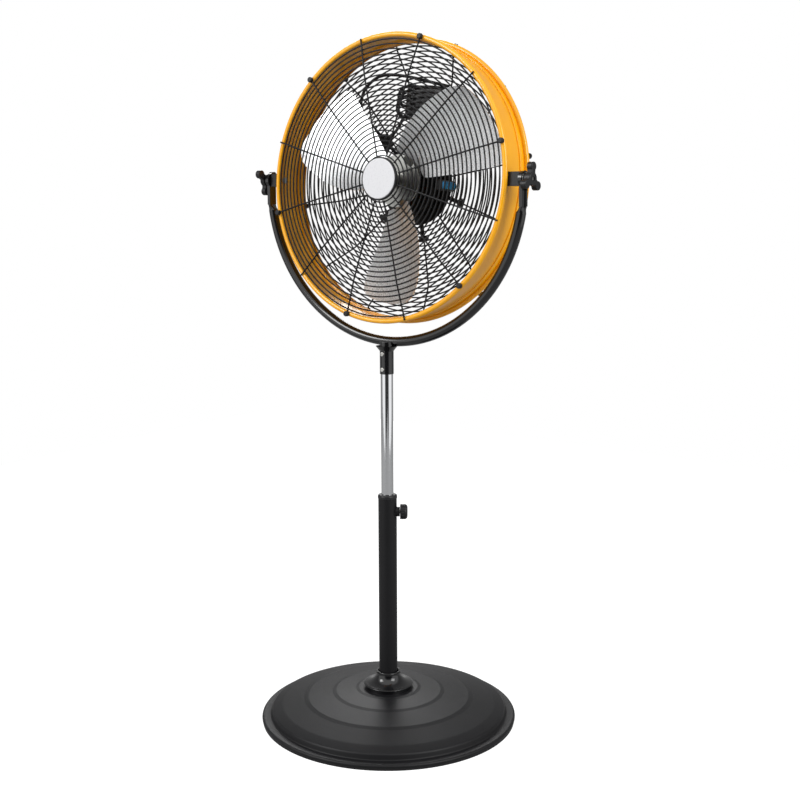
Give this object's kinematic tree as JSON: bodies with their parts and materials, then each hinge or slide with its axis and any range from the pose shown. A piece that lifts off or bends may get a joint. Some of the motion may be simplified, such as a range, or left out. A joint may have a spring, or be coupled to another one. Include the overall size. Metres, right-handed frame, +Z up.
{
  "type": "pedestal fan",
  "caption": "Drum fan in a tilting yoke on a height-adjustable pole with a round weighted base, wire guards and aluminium blades.",
  "frame": {"origin": "on the floor under the centre of the base", "axes": "+Z up along the pole, the fan blows towards -Y"},
  "size_m": [0.6632, 0.53, 1.3951],
  "materials": {
    "yellow_paint": "gloss powder coat",
    "black_satin": "satin powder coat",
    "black_gloss": "gloss",
    "chrome_plate": "polished",
    "zinc": "zinc plated",
    "iron": "rough cast",
    "blade_metal": "polished",
    "motor_paint": "satin black",
    "core_steel": "laminated",
    "copper": "enamelled wire",
    "brass_metal": "turned",
    "black_plastic": "fine grain",
    "nylon": "smooth",
    "white_plastic": "gloss",
    "blue_plastic": "gloss",
    "rubber_black": "matte"
  },
  "bodies": {
    "base": {"base_plate": "black_satin", "base_edge_trim": "rubber_black", "base_ballast": "iron", "base_collar": "black_gloss", "base_bolt": "zinc", "base_washer": "zinc", "outer_tube": "black_satin", "outer_tube_foot": "core_steel", "lock_boss": "black_satin", "top_bush": "nylon"},
    "glide": {"pole_glide": "nylon"},
    "upright": {"inner_tube": "chrome_plate", "yoke": "black_gloss", "yoke_stem": "black_gloss", "stem_screws": "zinc"},
    "lock": {"lock_knob": "black_plastic", "lock_stud": "zinc"},
    "knob_left": {"tilt_knob_left": "black_plastic", "knob_insert_left": "brass_metal"},
    "knob_right": {"tilt_knob_right": "black_plastic", "knob_insert_right": "brass_metal"},
    "rotor": {"rotor_core": "core_steel", "motor_shaft": "core_steel", "blade_1": "blade_metal", "blade_2": "blade_metal", "blade_3": "blade_metal", "blade_hub": "zinc", "blade_rivets": "blade_metal", "hub_nut": "zinc"},
    "speed": {"speed_knob": "black_plastic"},
    "head": {"badge_disc": "white_plastic", "badge_ring": "black_plastic", "bracket_clamps": "black_satin", "capacitor_nut": "zinc", "clamp_screws": "zinc", "cord_gland": "black_plastic", "cord_hank": "rubber_black", "cord_tail": "rubber_black", "cord_ties": "nylon", "drum": "yellow_paint", "front_clips": "black_plastic", "front_guard": "black_satin", "motor_bearings": "core_steel", "motor_bolts": "zinc", "motor_bracket": "black_satin", "motor_front_shell": "motor_paint", "motor_rear_shell": "motor_paint", "pivot_bolts": "zinc", "pivot_spacers": "black_plastic", "power_cord": "rubber_black", "power_plug": "rubber_black", "rear_clips": "black_plastic", "rear_guard": "black_satin", "rotary_switch": "nylon", "run_capacitor": "blue_plastic", "stator_core": "core_steel", "stator_windings": "copper", "switch_housing": "black_plastic", "tilt_washers": "zinc"}
  },
  "joints": [
    {"name": "pole_slide", "type": "slide", "parent": "base", "child": "glide", "axis": [0, 0, 1], "range_m": [-0.24, 0.035]},
    {"name": "pole_turn", "type": "hinge", "parent": "glide", "child": "upright", "pos_m": [0, 0, 0.4], "axis": [0, 0, 1], "continuous": true},
    {"name": "head_tilt", "type": "hinge", "parent": "upright", "child": "head", "pos_m": [0, 0.008, 1.112], "axis": [1, 0, 0], "range_deg": [-180, 180]},
    {"name": "fan_spin", "type": "hinge", "parent": "head", "child": "rotor", "pos_m": [0, 0.008, 1.112], "axis": [0, -0.9969, 0.0785], "continuous": true},
    {"name": "knob_left_turn", "type": "hinge", "parent": "head", "child": "knob_left", "pos_m": [-0.32, 0.008, 1.112], "axis": [-1, 0, 0], "range_deg": [-30, 360]},
    {"name": "knob_right_turn", "type": "hinge", "parent": "head", "child": "knob_right", "pos_m": [0.32, 0.008, 1.112], "axis": [1, 0, 0], "range_deg": [-30, 360]},
    {"name": "lock_knob_turn", "type": "hinge", "parent": "base", "child": "lock", "pos_m": [0, 0, 0.441], "axis": [0.8192, 0.5736, 0], "range_deg": [-30, 360]},
    {"name": "speed_turn", "type": "hinge", "parent": "head", "child": "speed", "pos_m": [0, 0.15205, 1.10066], "axis": [0, 0.9969, -0.0785], "range_deg": [0, 135]}
  ]
}
